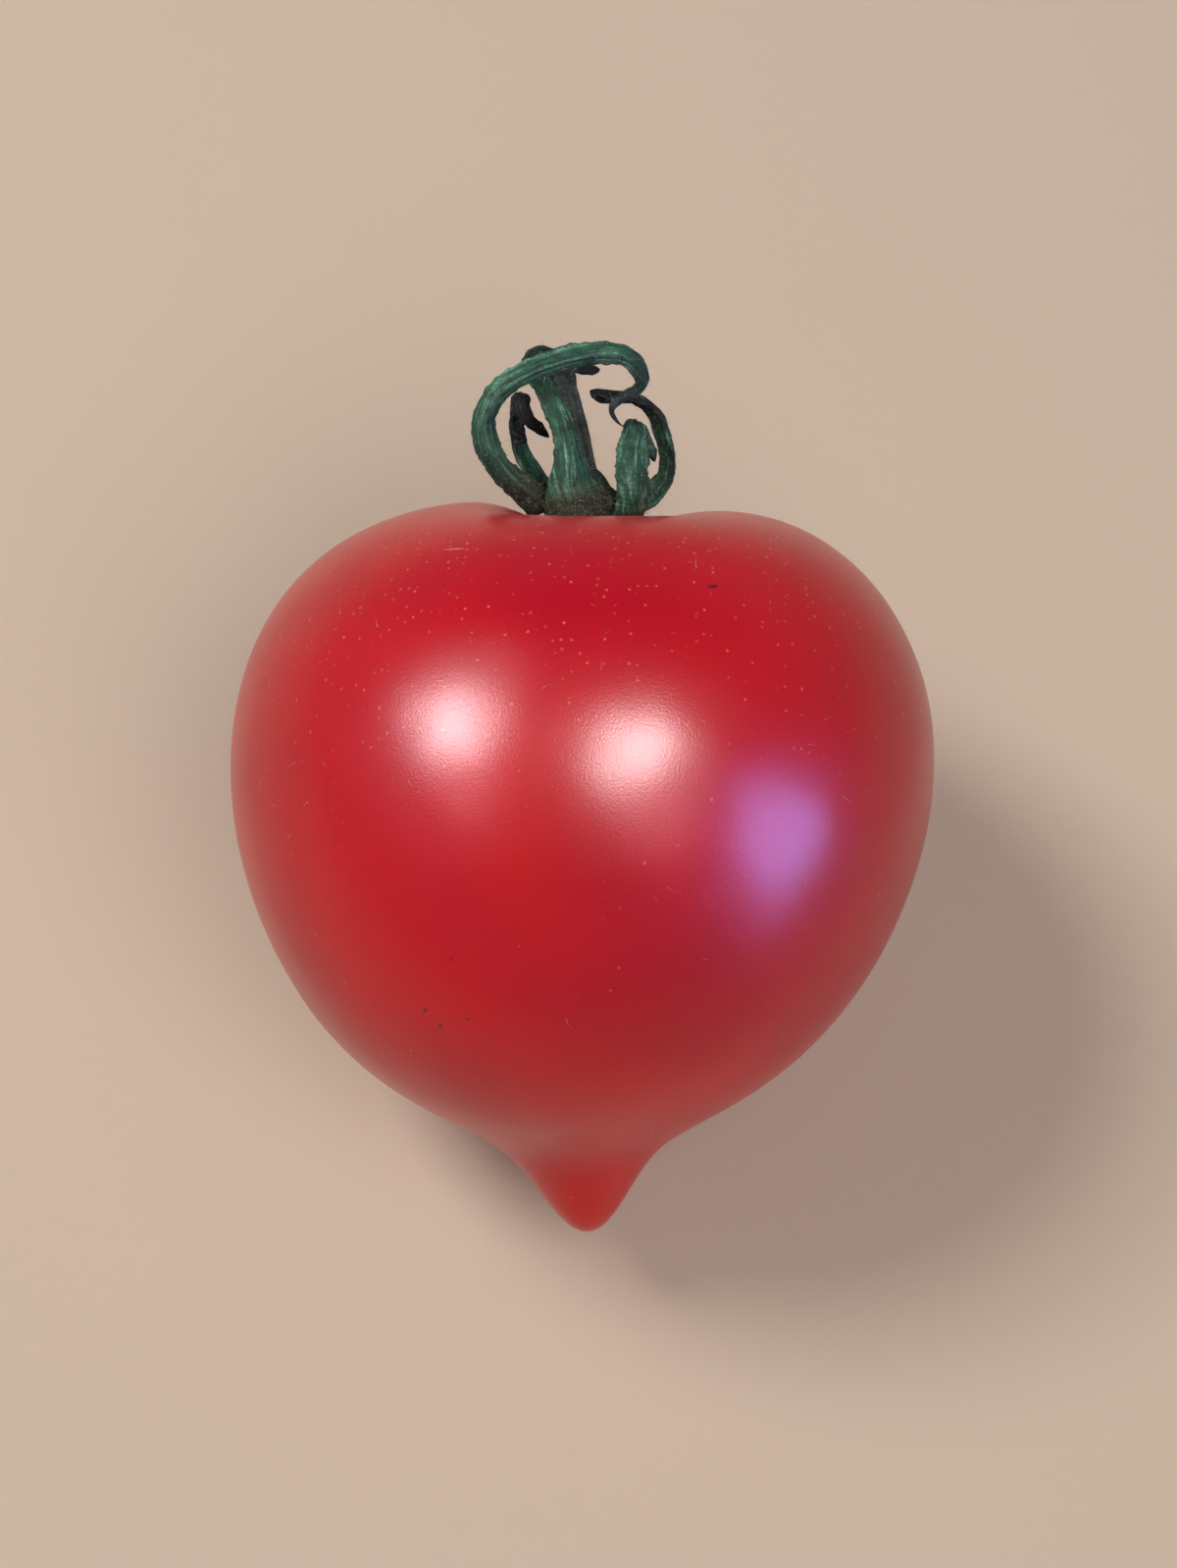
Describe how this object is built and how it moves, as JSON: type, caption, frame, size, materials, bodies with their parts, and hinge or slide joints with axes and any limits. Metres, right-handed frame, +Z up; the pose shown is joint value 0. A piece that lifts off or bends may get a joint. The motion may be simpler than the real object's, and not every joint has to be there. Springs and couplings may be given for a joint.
{
  "type": "tomato",
  "caption": "Small heart-shaped tomato lying on its side, with a pointed tip, a short stem and curled, drying sepals at its shoulder.",
  "frame": {"origin": "middle of the small flat spot on the fruit's side that it rests on", "axes": "+Z up; -Y towards the fruit's pointed tip, +Y towards its stem; +X to the right as seen from the tip's side. The fruit's own axis drops 27 degrees towards the tip"},
  "size_m": [0.0356, 0.0409, 0.0353],
  "materials": {
    "tomato_skin": "ripe waxy skin with a satin gloss, scarlet to crimson, with pale flecks at the shoulders",
    "green_stem": "dull grey-green, ribbed and downy, brown where it has dried",
    "green_sepal": "dull blue-green, ribbed and downy, brown towards the base"
  },
  "bodies": {
    "root": {"fruit": "tomato_skin", "stem": "green_stem", "sepal_front": "green_sepal", "sepal_front_left": "green_sepal", "sepal_back_left": "green_sepal", "sepal_back_right": "green_sepal", "sepal_front_right": "green_sepal"}
  },
  "joints": []
}
